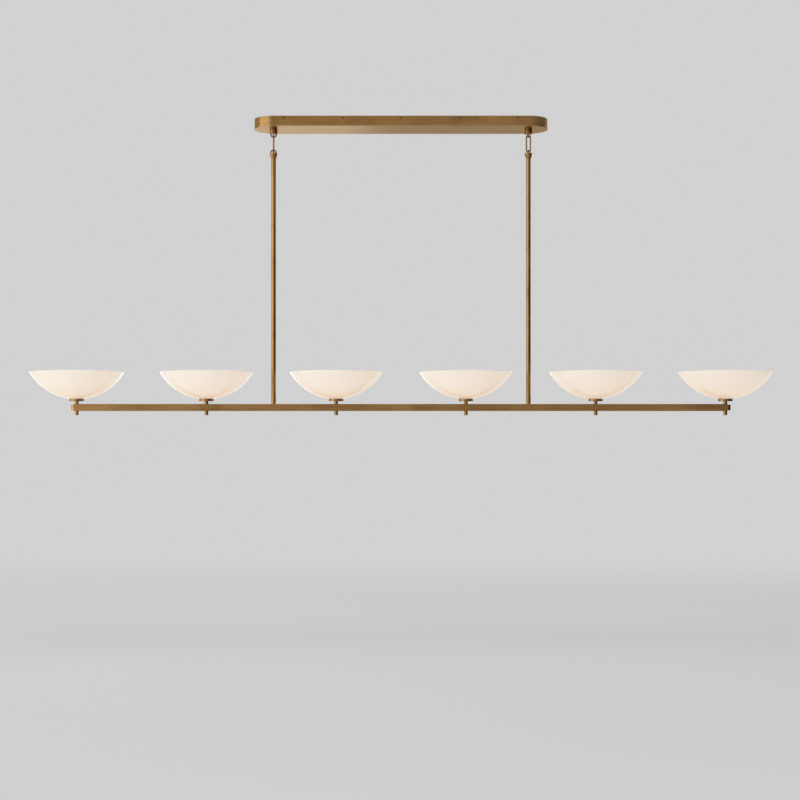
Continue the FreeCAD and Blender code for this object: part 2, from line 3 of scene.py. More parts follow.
import bpy
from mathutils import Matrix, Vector


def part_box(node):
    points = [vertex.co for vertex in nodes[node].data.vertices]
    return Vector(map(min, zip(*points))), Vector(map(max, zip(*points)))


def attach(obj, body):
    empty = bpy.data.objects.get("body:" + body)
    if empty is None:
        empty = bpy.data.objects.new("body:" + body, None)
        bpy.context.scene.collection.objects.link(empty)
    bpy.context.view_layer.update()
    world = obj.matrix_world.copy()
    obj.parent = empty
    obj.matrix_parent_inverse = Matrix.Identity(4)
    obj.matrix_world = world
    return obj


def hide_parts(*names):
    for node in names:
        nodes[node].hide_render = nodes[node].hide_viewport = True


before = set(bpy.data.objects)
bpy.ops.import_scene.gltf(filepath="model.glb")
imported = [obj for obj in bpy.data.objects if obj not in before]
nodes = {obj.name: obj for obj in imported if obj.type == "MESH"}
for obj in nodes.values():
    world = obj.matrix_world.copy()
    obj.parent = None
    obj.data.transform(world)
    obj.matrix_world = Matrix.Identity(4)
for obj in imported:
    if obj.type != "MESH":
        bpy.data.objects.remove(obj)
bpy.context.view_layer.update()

mm = 0.001
bowlCount = 6


# ---- camera, at the height and distance that the picture was taken from
view = {"place": (-0.0027, -4.216, -0.868), "tilt": 90, "lens": 69.2, "shiftY": 0.045}


def makeCamera():
    turn = (math.radians(view["tilt"]), 0, 0)
    bpy.ops.object.camera_add(location=view["place"], rotation=turn)
    camera = bpy.context.object
    camera.data.lens = view["lens"]
    camera.data.shift_y = view["shiftY"]
    bpy.context.scene.camera = camera


# ---- modelling steps that many pieces share
merging = 0.002 * mm
smoothAngle = math.radians(32)
bevelAngle = math.radians(35)


def deselectAll():
    bpy.ops.object.select_all(action="DESELECT")


def makeActive(piece):
    deselectAll()
    piece.select_set(True)
    bpy.context.view_layer.objects.active = piece


def settle(piece):
    makeActive(piece)
    bpy.ops.object.transform_apply(location=True, rotation=True, scale=True)


def pickVertices(piece, wanted):
    bpy.ops.object.mode_set(mode="EDIT")
    bpy.ops.mesh.select_mode(type="VERT")
    bpy.ops.mesh.select_all(action="DESELECT")
    bpy.ops.object.mode_set(mode="OBJECT")
    for vertex in piece.data.vertices:
        vertex.select = wanted(vertex.co)
    bpy.ops.object.mode_set(mode="EDIT")


def draw(rise):
    bpy.ops.mesh.extrude_region_move(TRANSFORM_OT_translate={"value": (0, 0, rise)})


def drawAll(piece, rise):
    pickVertices(piece, lambda co: True)
    draw(rise)


def sealMesh():
    # in edit mode: doubles merged, then faces turned outward
    bpy.ops.mesh.select_all(action="SELECT")
    bpy.ops.mesh.remove_doubles(threshold=merging)
    bpy.ops.mesh.normals_make_consistent(inside=False)
    bpy.ops.object.mode_set(mode="OBJECT")


def modify(piece, kind, **values):
    makeActive(piece)
    modifier = piece.modifiers.new(kind.lower(), kind)
    for key, value in values.items():
        setattr(modifier, key, value)
    bpy.ops.object.modifier_apply(modifier=modifier.name)


def bevel(piece, width, segments=3, angle=bevelAngle):
    modify(piece, "BEVEL", width=width, segments=segments, limit_method="ANGLE", angle_limit=angle)


def combine(piece, tool, operation):
    modify(piece, "BOOLEAN", object=tool, operation=operation, solver="EXACT")
    bpy.data.objects.remove(tool)


def smooth(piece):
    makeActive(piece)
    bpy.ops.object.shade_smooth_by_angle(angle=smoothAngle)
    modify(piece, "WEIGHTED_NORMAL", keep_sharp=True)  # long faces stay straight up to their bevels


def copyTo(piece, shift):
    makeActive(piece)
    bpy.ops.object.duplicate()
    twin = bpy.context.object
    twin.location = shift
    settle(twin)
    return twin


def cylinder(spot, radius, depth, sides):
    deselectAll()
    bpy.ops.mesh.primitive_cylinder_add(vertices=sides, radius=radius, depth=depth, location=spot)
    piece = bpy.context.object
    settle(piece)
    return piece


def block(spot, size):
    deselectAll()
    bpy.ops.mesh.primitive_cube_add(size=1, location=spot)
    piece = bpy.context.object
    piece.scale = size
    settle(piece)
    return piece


def turned(outline, x, steps=72):
    # an outline of (radius, height) points drawn point by point, then spun round the upright line at x
    if outline[0][0] > 0:
        outline = outline + [outline[0]]
    deselectAll()
    start = outline[0]
    bpy.ops.mesh.primitive_plane_add(size=mm, location=(x + start[0], 0, start[1]))
    piece = bpy.context.object
    settle(piece)
    bpy.ops.object.mode_set(mode="EDIT")
    bpy.ops.mesh.select_mode(type="VERT")
    bpy.ops.mesh.select_all(action="SELECT")
    bpy.ops.mesh.merge(type="CENTER")
    for (r0, z0), (r1, z1) in zip(outline, outline[1:]):
        bpy.ops.mesh.extrude_region_move(TRANSFORM_OT_translate={"value": (r1 - r0, 0, z1 - z0)})
    bpy.ops.mesh.select_all(action="SELECT")
    bpy.ops.mesh.spin(steps=steps, angle=math.tau, center=(x, 0, 0), axis=(0, 0, 1))
    sealMesh()
    return piece


def arcPoints(centre, radius, first, last, steps):
    # angles run from straight down round towards +r
    angles = [first + (last - first) * i / steps for i in range(steps + 1)]
    return [(centre[0] + radius * math.sin(a), centre[1] - radius * math.cos(a)) for a in angles]


def ringOfWire(x, height, radius, wire, segments=24):
    # the round section that a link or a loop is drawn from, standing at the right of its bow
    deselectAll()
    spot = (x + radius, 0, height)
    bpy.ops.mesh.primitive_circle_add(vertices=segments, radius=wire / 2, location=spot)
    piece = bpy.context.object
    settle(piece)
    bpy.ops.object.mode_set(mode="EDIT")
    bpy.ops.mesh.select_mode(type="VERT")
    bpy.ops.mesh.select_all(action="SELECT")
    return piece


def bend(x, height, upward, steps=28):
    way = 1 if upward else -1
    bpy.ops.mesh.spin(steps=steps, angle=math.pi, center=(x, 0, height), axis=(0, way, 0))


def quarterTurn(piece, x):
    makeActive(piece)
    bpy.ops.object.mode_set(mode="EDIT")
    bpy.ops.mesh.select_all(action="SELECT")
    bpy.ops.transform.rotate(value=math.pi / 2, orient_axis="Z", center_override=(x, 0, 0))
    bpy.ops.object.mode_set(mode="OBJECT")


def stadium(centreX, halfStraight, radius, height, filled, segments=98):
    # a circle pulled apart along X; with 98 sides no point stands on its middle line
    deselectAll()
    fill = "NGON" if filled else "NOTHING"
    spot = (centreX, 0, height)
    bpy.ops.mesh.primitive_circle_add(vertices=segments, radius=radius, fill_type=fill, location=spot)
    piece = bpy.context.object
    settle(piece)
    for side in (-1, 1):
        pickVertices(piece, lambda co: side * (co.x - centreX) > merging)
        bpy.ops.transform.translate(value=(side * halfStraight, 0, 0))
        bpy.ops.object.mode_set(mode="OBJECT")
    return piece


def place(piece, name, body, finish, slot, *stands):
    smooth(piece)
    piece.name = name
    piece.data.name = name
    piece.data.materials.clear()
    piece.data.materials.append(finish)
    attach(piece, body)
    if stands:
        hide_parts(*stands)


def middleX(node):
    low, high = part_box(node)
    return (low.x + high.x) / 2


def halfWidth(node):
    low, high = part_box(node)
    return (high.x - low.x) / 2


def placeRow(first, spacing, name, finish, slot, node):
    # one piece per bowl, as far apart as the CAD nodes that spacing names; {} in node is its number
    start = middleX(f"{spacing}_1")
    shifts = [middleX(f"{spacing}_{n}") - start for n in range(2, bowlCount + 1)]
    row = [first] + [copyTo(first, (shift, 0, 0)) for shift in shifts]
    for number, piece in enumerate(row, 1):
        place(piece, f"{name}_{number}", "hanging_frame", finish, slot, node.format(number))


# ---- finishes
def newFinish(name):
    finish = bpy.data.materials.new(name)
    finish.use_nodes = True
    tree = finish.node_tree
    return finish, tree, tree.nodes["Principled BSDF"]


def addNode(tree, kind, inputs, **settings):
    node = tree.nodes.new("ShaderNode" + kind)
    for key, value in settings.items():
        setattr(node, key, value)
    for key, value in inputs.items():
        if isinstance(value, bpy.types.NodeSocket):
            tree.links.new(value, node.inputs[key])
        else:
            node.inputs[key].default_value = value
    return node


def objectPlace(tree):
    return addNode(tree, "TexCoord", {}).outputs["Object"]


def noise(tree, spot, scale, detail, roughness):
    inputs = {"Vector": spot, "Scale": scale, "Detail": detail, "Roughness": roughness}
    return addNode(tree, "TexNoise", inputs).outputs["Fac"]


def stretched(tree, spot, scale):
    return addNode(tree, "Mapping", {"Vector": spot, "Scale": scale}).outputs["Vector"]


def spread(tree, value, fromRange, toRange, easing="LINEAR"):
    inputs = {"Value": value, "From Min": fromRange[0], "From Max": fromRange[1]}
    inputs.update({"To Min": toRange[0], "To Max": toRange[1]})
    node = addNode(tree, "MapRange", inputs, clamp=True, interpolation_type=easing)
    return node.outputs["Result"]


def maths(tree, operation, first, second):
    return addNode(tree, "Math", {0: first, 1: second}, operation=operation).outputs["Value"]


def weighted(tree, first, firstShare, second, secondShare):
    firstPart = maths(tree, "MULTIPLY", first, firstShare)
    return maths(tree, "ADD", firstPart, maths(tree, "MULTIPLY", second, secondShare))


def mixColour(tree, amount, first, second, how="MIX"):
    inputs = {0: amount, 6: first, 7: second}
    return addNode(tree, "Mix", inputs, data_type="RGBA", blend_type=how).outputs[2]


def ramp(tree, value, stops):
    node = addNode(tree, "ValToRGB", {"Fac": value})
    elements = node.color_ramp.elements
    elements[0].position, elements[0].color = stops[0]
    elements[1].position, elements[1].color = stops[-1]
    for position, colour in stops[1:-1]:
        elements.new(position).color = colour
    return node.outputs["Color"]


def joinInputs(tree, shader, links, constants):
    for key, value in links.items():
        tree.links.new(value, shader.inputs[key])
    for key, value in constants.items():
        shader.inputs[key].default_value = value


def outwardNormal(tree):
    return addNode(tree, "NewGeometry", {}).outputs["Normal"]


def edgeMask(tree, width, reach):
    # 0 on open faces, up to 1 along edges and corners
    soft = addNode(tree, "Bevel", {"Radius": width}, samples=4).outputs["Normal"]
    inputs = {0: soft, 1: outwardNormal(tree)}
    same = addNode(tree, "VectorMath", inputs, operation="DOT_PRODUCT").outputs["Value"]
    return spread(tree, same, (1.0, 1.0 - reach), (0.0, 1.0))


def bump(tree, height, strength, distance):
    inputs = {"Height": height, "Strength": strength, "Distance": distance}
    return addNode(tree, "Bump", inputs).outputs["Normal"]


# each noise has its scale, detail and roughness
brass = {
    "deep": (0.220, 0.109, 0.034, 1),
    "body": (0.330, 0.174, 0.058, 1),
    "light": (0.420, 0.236, 0.090, 1),
    "worn": (0.580, 0.370, 0.155, 1),
    "grazing": (0.96, 0.83, 0.62, 1),
    "deepAt": 0.30,
    "bodyAt": 0.47,
    "lightAt": 0.68,
    "cloudNoise": (11.0, 5.0, 0.6),
    "cloudShare": 0.62,
    "fleckNoise": (180.0, 3.0, 0.6),
    "fleckRange": (0.62, 0.74),
    "fleck": 0.10,
    "brushNoise": (1.0, 4.0, 0.65),
    "brushAlong": 14.0,
    "brushAcross": 1500.0,
    "brushRange": (0.3, 0.7),
    "brushShade": (0.86, 1.12),
    "brushDepth": 0.006 * mm,
    "brushStrength": 0.35,
    "bandNoise": (1.0, 2.0, 0.5),
    "bandAlong": 3.0,
    "bandAcross": 210.0,
    "bandShare": 0.38,
    "hazeCloud": 0.6,
    "hazeBrush": 0.4,
    "hazeRange": (0.32, 0.66),
    "roughness": (0.26, 0.39),
    "edgeWidth": 0.9 * mm,
    "edgeReach": 0.10,
    "edgeWear": 0.55,
    "lacquer": 0.12,
    "lacquerRoughness": 0.22,
}


def agedBrass(name, along):
    # along says which ways the brushing runs: 1 along, 0 across
    finish, tree, shader = newFinish(name)
    spot = objectPlace(tree)
    fine = tuple(brass["brushAlong"] if a else brass["brushAcross"] for a in along)
    wide = tuple(brass["bandAlong"] if a else brass["bandAcross"] for a in along)
    brush = noise(tree, stretched(tree, spot, fine), *brass["brushNoise"])
    bands = noise(tree, stretched(tree, spot, wide), *brass["bandNoise"])
    cloud = noise(tree, spot, *brass["cloudNoise"])
    fleck = noise(tree, spot, *brass["fleckNoise"])
    tone = weighted(tree, cloud, brass["cloudShare"], bands, brass["bandShare"])
    stops = [(brass[shade + "At"], brass[shade]) for shade in ("deep", "body", "light")]
    colour = ramp(tree, tone, stops)
    streak = spread(tree, brush, brass["brushRange"], brass["brushShade"])
    grey = addNode(tree, "CombineColor", {0: streak, 1: streak, 2: streak}).outputs["Color"]
    colour = mixColour(tree, 1.0, colour, grey, "MULTIPLY")
    spots = spread(tree, fleck, brass["fleckRange"], (0.0, brass["fleck"]))
    colour = mixColour(tree, spots, colour, brass["deep"])
    edge = edgeMask(tree, brass["edgeWidth"], brass["edgeReach"])
    colour = mixColour(tree, maths(tree, "MULTIPLY", edge, brass["edgeWear"]), colour, brass["worn"])
    haze = weighted(tree, cloud, brass["hazeCloud"], brush, brass["hazeBrush"])
    rough = spread(tree, haze, brass["hazeRange"], brass["roughness"])
    normal = bump(tree, brush, brass["brushStrength"], brass["brushDepth"])
    constants = {"Metallic": 1.0, "Specular Tint": brass["grazing"]}
    constants.update({"Coat Weight": brass["lacquer"], "Coat Roughness": brass["lacquerRoughness"]})
    joinInputs(tree, shader, {"Base Color": colour, "Roughness": rough, "Normal": normal}, constants)
    return finish


glass = {
    "low": (0.84, 0.76, 0.65, 1),
    "middle": (0.86, 0.845, 0.81, 1),
    "middleFrom": 0.5,
    "middleTo": 0.95,
    "rim": (0.88, 0.875, 0.86, 1),
    "glowLow": (1.0, 0.71, 0.46, 1),
    "glowRim": (1.0, 0.76, 0.54, 1),
    "glowRimAt": 0.9,
    "glowInside": (0.34, 0.27, 0.20, 1),
    "insideRange": (-0.1, 0.3),
    "glowStrength": 0.42,
    "cloudNoise": (9.0, 4.0, 0.55),
    "cloudRange": (0.3, 0.7),
    "cloudShift": (-0.09, 0.09),
    "waveNoise": (35.0, 2.0, 0.5),
    "waveDepth": 0.05 * mm,
    "waveStrength": 0.3,
    "roughness": (0.16, 0.26),
}
glassBody = {
    "Emission Strength": glass["glowStrength"],
    "Subsurface Weight": 0.25,
    "Subsurface Radius": (1.0, 0.75, 0.5),
    "Subsurface Scale": 3 * mm,
    "Coat Weight": 0.08,
    "Coat Roughness": 0.08,
    "Specular IOR Level": 0.3,
}


def opalGlass(name, lowZ, rimZ):
    finish, tree, shader = newFinish(name)
    spot = objectPlace(tree)
    height = addNode(tree, "SeparateXYZ", {"Vector": spot}).outputs["Z"]
    level = spread(tree, height, (lowZ, rimZ), (0.0, 1.0))
    cloud = noise(tree, spot, *glass["cloudNoise"])
    shade = maths(tree, "ADD", level, spread(tree, cloud, glass["cloudRange"], glass["cloudShift"]))
    stops = [(0.0, glass["low"]), (glass["middleFrom"], glass["middle"])]
    stops += [(glass["middleTo"], glass["middle"]), (1.0, glass["rim"])]
    colour = ramp(tree, shade, stops)
    glow = ramp(tree, shade, [(0.0, glass["glowLow"]), (glass["glowRimAt"], glass["glowRim"])])
    facingUp = addNode(tree, "SeparateXYZ", {"Vector": outwardNormal(tree)}).outputs["Z"]
    inside = spread(tree, facingUp, glass["insideRange"], (0.0, 1.0))
    glow = mixColour(tree, inside, glow, glass["glowInside"])
    wave = noise(tree, spot, *glass["waveNoise"])
    rough = spread(tree, cloud, glass["cloudRange"], glass["roughness"])
    normal = bump(tree, wave, glass["waveStrength"], glass["waveDepth"])
    links = {"Base Color": colour, "Roughness": rough, "Normal": normal, "Emission Color": glow}
    joinInputs(tree, shader, links, glassBody)
    return finish


speckle = {
    "cloudNoise": (4.0, 0.6),
    "cloudShare": 0.7,
    "grainNoise": (3.0, 0.6),
    "grainShare": 0.3,
    "grainFiner": 18,
    "range": (0.35, 0.65),
    "strength": 0.3,
}


def speckled(name, light, dark, scale, roughness, metallic=0.0, depth=0.01 * mm, **constants):
    # a plain finish with a soft cloud, a fine grain and a slightly uneven gloss
    finish, tree, shader = newFinish(name)
    spot = objectPlace(tree)
    cloud = noise(tree, spot, scale, *speckle["cloudNoise"])
    grain = noise(tree, spot, scale * speckle["grainFiner"], *speckle["grainNoise"])
    tone = weighted(tree, cloud, speckle["cloudShare"], grain, speckle["grainShare"])
    colour = mixColour(tree, spread(tree, tone, speckle["range"], (0.0, 1.0)), dark, light)
    rough = spread(tree, tone, speckle["range"], roughness)
    normal = bump(tree, grain, speckle["strength"], depth)
    links = {"Base Color": colour, "Roughness": rough, "Normal": normal}
    joinInputs(tree, shader, links, {"Metallic": metallic, **constants})
    return finish


# a name with capitals and spaces is an input of the shader
plainFinishes = {
    "screwBrass": {
        "name": "darkScrewBrass", "light": (0.15, 0.085, 0.035, 1), "dark": (0.07, 0.038, 0.015, 1),
        "scale": 220.0, "roughness": (0.32, 0.5), "metallic": 1.0},
    "frosted": {
        "name": "frostedGlass", "light": (0.96, 0.92, 0.84, 1), "dark": (0.90, 0.84, 0.74, 1),
        "scale": 90.0, "roughness": (0.42, 0.55),
        "Emission Color": (1.0, 0.86, 0.66, 1), "Emission Strength": 0.45, "Transmission Weight": 0.2},
    "ceramic": {
        "name": "glazedCeramic", "light": (0.82, 0.80, 0.74, 1), "dark": (0.74, 0.71, 0.64, 1),
        "scale": 120.0, "roughness": (0.12, 0.24), "Coat Weight": 0.5, "Coat Roughness": 0.06},
    "zinc": {
        "name": "platedSteel", "light": (0.54, 0.54, 0.53, 1), "dark": (0.46, 0.465, 0.465, 1),
        "scale": 60.0, "roughness": (0.42, 0.54), "metallic": 1.0, "depth": 0.003 * mm},
    "plastic": {
        "name": "terminalPlastic", "light": (0.72, 0.71, 0.64, 1), "dark": (0.64, 0.62, 0.55, 1),
        "scale": 160.0, "roughness": (0.42, 0.55)},
    "silicone": {
        "name": "gasketSilicone", "light": (0.74, 0.71, 0.63, 1), "dark": (0.62, 0.58, 0.50, 1),
        "scale": 150.0, "roughness": (0.5, 0.65), "Subsurface Weight": 0.2, "Subsurface Scale": mm},
    "blackWire": {
        "name": "lineInsulation", "light": (0.035, 0.035, 0.036, 1), "dark": (0.018, 0.018, 0.018, 1),
        "scale": 200.0, "roughness": (0.38, 0.55)},
    "whiteWire": {
        "name": "neutralInsulation", "light": (0.78, 0.78, 0.75, 1), "dark": (0.66, 0.66, 0.62, 1),
        "scale": 200.0, "roughness": (0.38, 0.55)},
}


def makeFinishes():
    low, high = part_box("glass_bowl_1")
    finishes = {
        "brassX": agedBrass("agedBrassAlongX", (1, 0, 0)),
        "brassFace": agedBrass("agedBrassFace", (1, 0, 1)),
        "brassBand": agedBrass("agedBrassBand", (1, 1, 0)),
        "brassZ": agedBrass("agedBrassAlongZ", (0, 0, 1)),
        "opal": opalGlass("opalGlass", low.z, high.z),
    }
    for key, values in plainFinishes.items():
        finishes[key] = speckled(**values)
    return finishes


# ---- glass bowls
bowl = {
    "wall": 4.0 * mm,
    "lip": 1.2 * mm,
    "hole": 5.0 * mm,
    "arcSteps": 30,
    "rimSteps": 8,
    "turns": 144,
}


def bowlSphere():
    # the sphere through the rim's shoulder and the edge of the stem hole: its middle, radius, shoulder
    low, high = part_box("glass_bowl_1")
    reach = halfWidth("glass_bowl_1")
    shoulder = high.z - bowl["lip"]
    rise = reach**2 - bowl["hole"] ** 2 + shoulder**2 - low.z**2
    centreZ = rise / (2 * (shoulder - low.z))
    return centreZ, math.hypot(reach, centreZ - shoulder), shoulder


def makeBowls(finishes):
    centreZ, outer, shoulder = bowlSphere()
    inner = outer - bowl["wall"]
    drop = centreZ - shoulder
    outerRim, innerRim = math.acos(drop / outer), math.acos(drop / inner)
    outerHole, innerHole = math.asin(bowl["hole"] / outer), math.asin(bowl["hole"] / inner)
    outline = arcPoints((0, centreZ), outer, outerHole, outerRim, bowl["arcSteps"])
    rimOut, rimIn = outer * math.sin(outerRim), inner * math.sin(innerRim)
    rimMiddle, rimHalf = (rimOut + rimIn) / 2, (rimOut - rimIn) / 2
    for i in range(1, bowl["rimSteps"]):
        angle = math.pi * i / bowl["rimSteps"]
        rimPoint = (rimMiddle + rimHalf * math.cos(angle), shoulder + bowl["lip"] * math.sin(angle))
        outline.append(rimPoint)
    outline += arcPoints((0, centreZ), inner, innerRim, innerHole, bowl["arcSteps"])
    first = turned(outline, middleX("glass_bowl_1"), bowl["turns"])
    placeRow(first, "glass_bowl", "opalBowl", finishes["opal"], "opal_glass", "glass_bowl_{}")
    print("glass bowls made")


# ---- seats under the bowls and cap nuts under the bar
gasket = 1.2 * mm
seat = {
    "neckRadius": 5.3 * mm,
    "neckHeight": 7.9 * mm,
    "bore": 4.1 * mm,
    "dishSteps": 10,
    "edge": 0.35 * mm,
}
bowlNut = {
    "flange": 3.0 * mm,
    "flats": 13.0 * mm,
    "bite": 1.0 * mm,
    "bore": 4.05 * mm,
    "boreDepth": 40.0 * mm,
    "boreSides": 40,
    "dishSteps": 8,
    "edge": 0.5 * mm,
    "turns": 64,
}
capNut = {
    "radius": 5.3 * mm,
    "bore": 4.05 * mm,
    "floor": 2.9 * mm,
    "edge": 1.1 * mm,
    "edgeSteps": 4,
    "turns": 48,
}


def makeSeats(finishes):
    low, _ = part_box("bowl_seat_1")
    centreZ, outer, _ = bowlSphere()
    radius = halfWidth("bowl_seat_1")
    neck, under = seat["neckRadius"], low.z + seat["neckHeight"]
    outline = [(seat["bore"], low.z), (neck, low.z), (neck, under), (radius, under)]
    # the dish follows the bowl, a gasket's thickness below it
    dish = outer + gasket
    rimAngle, boreAngle = math.asin(radius / dish), math.asin(seat["bore"] / dish)
    outline += arcPoints((0, centreZ), dish, rimAngle, boreAngle, seat["dishSteps"])
    first = turned(outline, middleX("bowl_seat_1"))
    bevel(first, seat["edge"])
    placeRow(first, "bowl_seat", "bowlSeat", finishes["brassBand"], "aged_brass", "bowl_seat_{}")
    print("bowl seats made")


def makeBowlNuts(finishes):
    # a flange dished to the inside of the glass, with a hexagon on it
    low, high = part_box("bowl_nuts")
    x = middleX("glass_bowl_1")
    centreZ, outer, _ = bowlSphere()
    dish = outer - bowl["wall"] - gasket
    radius = high.y
    top = low.z + bowlNut["flange"]
    boreAngle, rimAngle = math.asin(bowlNut["bore"] / dish), math.asin(radius / dish)
    outline = arcPoints((0, centreZ), dish, boreAngle, rimAngle, bowlNut["dishSteps"])
    outline += [(radius, top), (bowlNut["bore"], top)]
    first = turned(outline, x, bowlNut["turns"])
    bevel(first, bowlNut["edge"] / 2)
    corner = bowlNut["flats"] / math.sqrt(3)
    hexagonMiddle = (x, 0, (high.z + top - bowlNut["bite"]) / 2)
    hexagon = cylinder(hexagonMiddle, corner, high.z - top + bowlNut["bite"], 6)
    bevel(hexagon, bowlNut["edge"])
    bore = cylinder((x, 0, top), bowlNut["bore"], bowlNut["boreDepth"], bowlNut["boreSides"])
    combine(first, hexagon, "UNION")
    combine(first, bore, "DIFFERENCE")
    placeRow(first, "glass_bowl", "bowlNut", finishes["brassBand"], "aged_brass", "bowl_nuts")
    print("bowl nuts made")


def makeCapNuts(finishes):
    low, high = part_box("stem_cap_nuts")
    r, bore, floor = capNut["radius"], capNut["bore"], low.z + capNut["floor"]
    outline = [(0, low.z), (r, low.z), (r, high.z), (bore, high.z), (bore, floor), (0, floor)]
    first = turned(outline, middleX("glass_bowl_1"), capNut["turns"])
    bevel(first, capNut["edge"] / 2, capNut["edgeSteps"])
    placeRow(first, "glass_bowl", "capNut", finishes["brassBand"], "aged_brass", "stem_cap_nuts")
    print("cap nuts made")


# ---- lampholders and lamps
holder = {
    "bore": 4.05 * mm,
    "boreDepth": 10.0 * mm,
    "collar": 8.0 * mm,
    "collarHeight": 5.0 * mm,
    "step": 3.0 * mm,
    "edge": 0.8 * mm,
    "pinRoom": 1.2,
    "pinCut": 2.0 * mm,
    "turns": 48,
}
lamp = {
    "baseHeight": 11.0 * mm,
    "baseDepth": 9.0 * mm,
    "baseEdge": 1.5 * mm,
    "baseSteps": 4,
    "foot": 8.0 * mm,
    "pinRadius": 0.8 * mm,
    "pinSpacing": 9.0 * mm,
    "pinBite": 1.0 * mm,
    "pinSides": 20,
    "radius": 7.0 * mm,
    "neck": 0.86,
    "neckHeight": 1.5 * mm,
    "shoulder": 4.0 * mm,
    "dome": 0.7,
    "domeSteps": 10,
    "tip": 1.1 * mm,
    "tipHeight": 0.5 * mm,
    "tipTop": 0.7,
    "tipRound": 0.1 * mm,
    "turns": 48,
}


def makeHolders(finishes):
    low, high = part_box("lampholder_1")
    x = middleX("lampholder_1")
    radius = halfWidth("lampholder_1")
    bore, collar = holder["bore"], holder["collar"]
    top = low.z + holder["collarHeight"]
    inside = low.z + holder["boreDepth"]
    outline = [(0, inside), (bore, inside), (bore, low.z), (collar, low.z), (collar, top)]
    outline += [(radius, top + holder["step"]), (radius, high.z), (0, high.z)]
    first = turned(outline, x, holder["turns"])
    bevel(first, holder["edge"])
    for side in (-1, 1):
        spot = (x + side * lamp["pinSpacing"] / 2, 0, high.z - lamp["foot"] / 2)
        holeRadius, depth = lamp["pinRadius"] * holder["pinRoom"], lamp["foot"] + holder["pinCut"]
        combine(first, cylinder(spot, holeRadius, depth, lamp["pinSides"]), "DIFFERENCE")
    slot = "lampholder_ceramic"
    placeRow(first, "lampholder", "lampholderBody", finishes["ceramic"], slot, "lampholder_{}")
    print("lampholders made")


def makeLamps(finishes):
    low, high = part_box("lamp_1")
    x = middleX("lamp_1")
    r = lamp["radius"]
    foot = low.z + lamp["foot"]
    baseTop = foot + lamp["baseHeight"]
    baseSize = (2 * r, lamp["baseDepth"], lamp["baseHeight"])
    base = block((x, 0, (foot + baseTop) / 2), baseSize)
    bevel(base, lamp["baseEdge"] / 2, lamp["baseSteps"])
    for side in (-1, 1):
        reach = lamp["foot"] + lamp["pinBite"]
        spot = (x + side * lamp["pinSpacing"] / 2, 0, low.z + reach / 2)
        combine(base, cylinder(spot, lamp["pinRadius"], reach, lamp["pinSides"]), "UNION")
    neck = r * lamp["neck"]
    domeLow = high.z - r * lamp["dome"] - lamp["tipHeight"]
    outline = [(0, baseTop), (neck, baseTop), (neck, baseTop + lamp["neckHeight"])]
    outline += [(r, baseTop + lamp["shoulder"]), (r, domeLow)]
    for i in range(1, lamp["domeSteps"] - 1):
        angle = math.pi / 2 * i / lamp["domeSteps"]
        outline.append((r * math.cos(angle), domeLow + r * lamp["dome"] * math.sin(angle)))
    outline.append((lamp["tip"], high.z - lamp["tipHeight"]))
    outline += [(lamp["tip"] * lamp["tipTop"], high.z - lamp["tipRound"]), (0, high.z)]
    bulb = turned(outline, x, lamp["turns"])
    for number in range(1, bowlCount + 1):
        node = f"lamp_{number}"
        shift = (middleX(node) - x, 0, 0)
        glassPart, basePart = copyTo(bulb, shift), copyTo(base, shift)
        place(glassPart, f"lampBulb_{number}", "hanging_frame", finishes["frosted"], "lamp_glass", node)
        finish, slot = finishes["ceramic"], "lampholder_ceramic"
        place(basePart, f"lampBase_{number}", "hanging_frame", finish, slot, node)
    bpy.data.objects.remove(bulb)
    bpy.data.objects.remove(base)
    print("lamps made")


# ---- canopy
canopy = {
    "sheet": 1.5 * mm,
    "faceEdge": 0.45 * mm,
    "bandEdge": 0.2 * mm,
    "bandEdgeSteps": 2,
    "shankHole": 6.5 * mm,
    "holeDepth": 8.0 * mm,
    "holeSides": 48,
}
sideScrew = {
    "radius": 2.4 * mm,
    "height": 1.6 * mm,
    "rimShare": 0.45,
    "domeShare": 0.55,
    "domeSteps": 6,
    "slotLength": 3,
    "slotWidth": 0.7 * mm,
    "slotDepth": 0.6 * mm,
    "twist": 23,
    "column": 20.0 * mm,
    "outside": 0.1 * mm,
    "turns": 32,
}


def canopyOutline(node, filled):
    low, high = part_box(node)
    radius = high.y
    piece = stadium(0, high.x - radius, radius, low.z, filled)
    drawAll(piece, high.z - low.z)
    sealMesh()
    return piece


def makeCanopy(finishes):
    face = canopyOutline("canopy_face", True)
    bevel(face, canopy["faceEdge"])
    for side in ("left", "right"):
        spot = (middleX(f"{side}_hanger_collar"), 0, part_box("canopy_face")[0].z)
        hole = cylinder(spot, canopy["shankHole"], canopy["holeDepth"], canopy["holeSides"])
        combine(face, hole, "DIFFERENCE")
    place(face, "canopyFace", "ceiling_set", finishes["brassFace"], "aged_brass", "canopy_face")
    band = canopyOutline("canopy_band", False)
    modify(band, "SOLIDIFY", thickness=canopy["sheet"], offset=-1)
    bevel(band, canopy["bandEdge"], canopy["bandEdgeSteps"])
    place(band, "canopyBand", "ceiling_set", finishes["brassBand"], "aged_brass", "canopy_band")
    print("canopy made")


def screwPoints():
    # the points of the CAD screws, one list for each screw, sorted by its side and its place along X
    heads = {}
    for vertex in nodes["canopy_side_screws"].data.vertices:
        side = 1 if vertex.co.y > 0 else -1
        column = round(vertex.co.x / sideScrew["column"])
        near = (key for key in heads if key[0] == side and abs(key[1] - column) <= 1)
        heads.setdefault(min(near, default=(side, column)), []).append(vertex.co.copy())
    return sorted(heads.items())


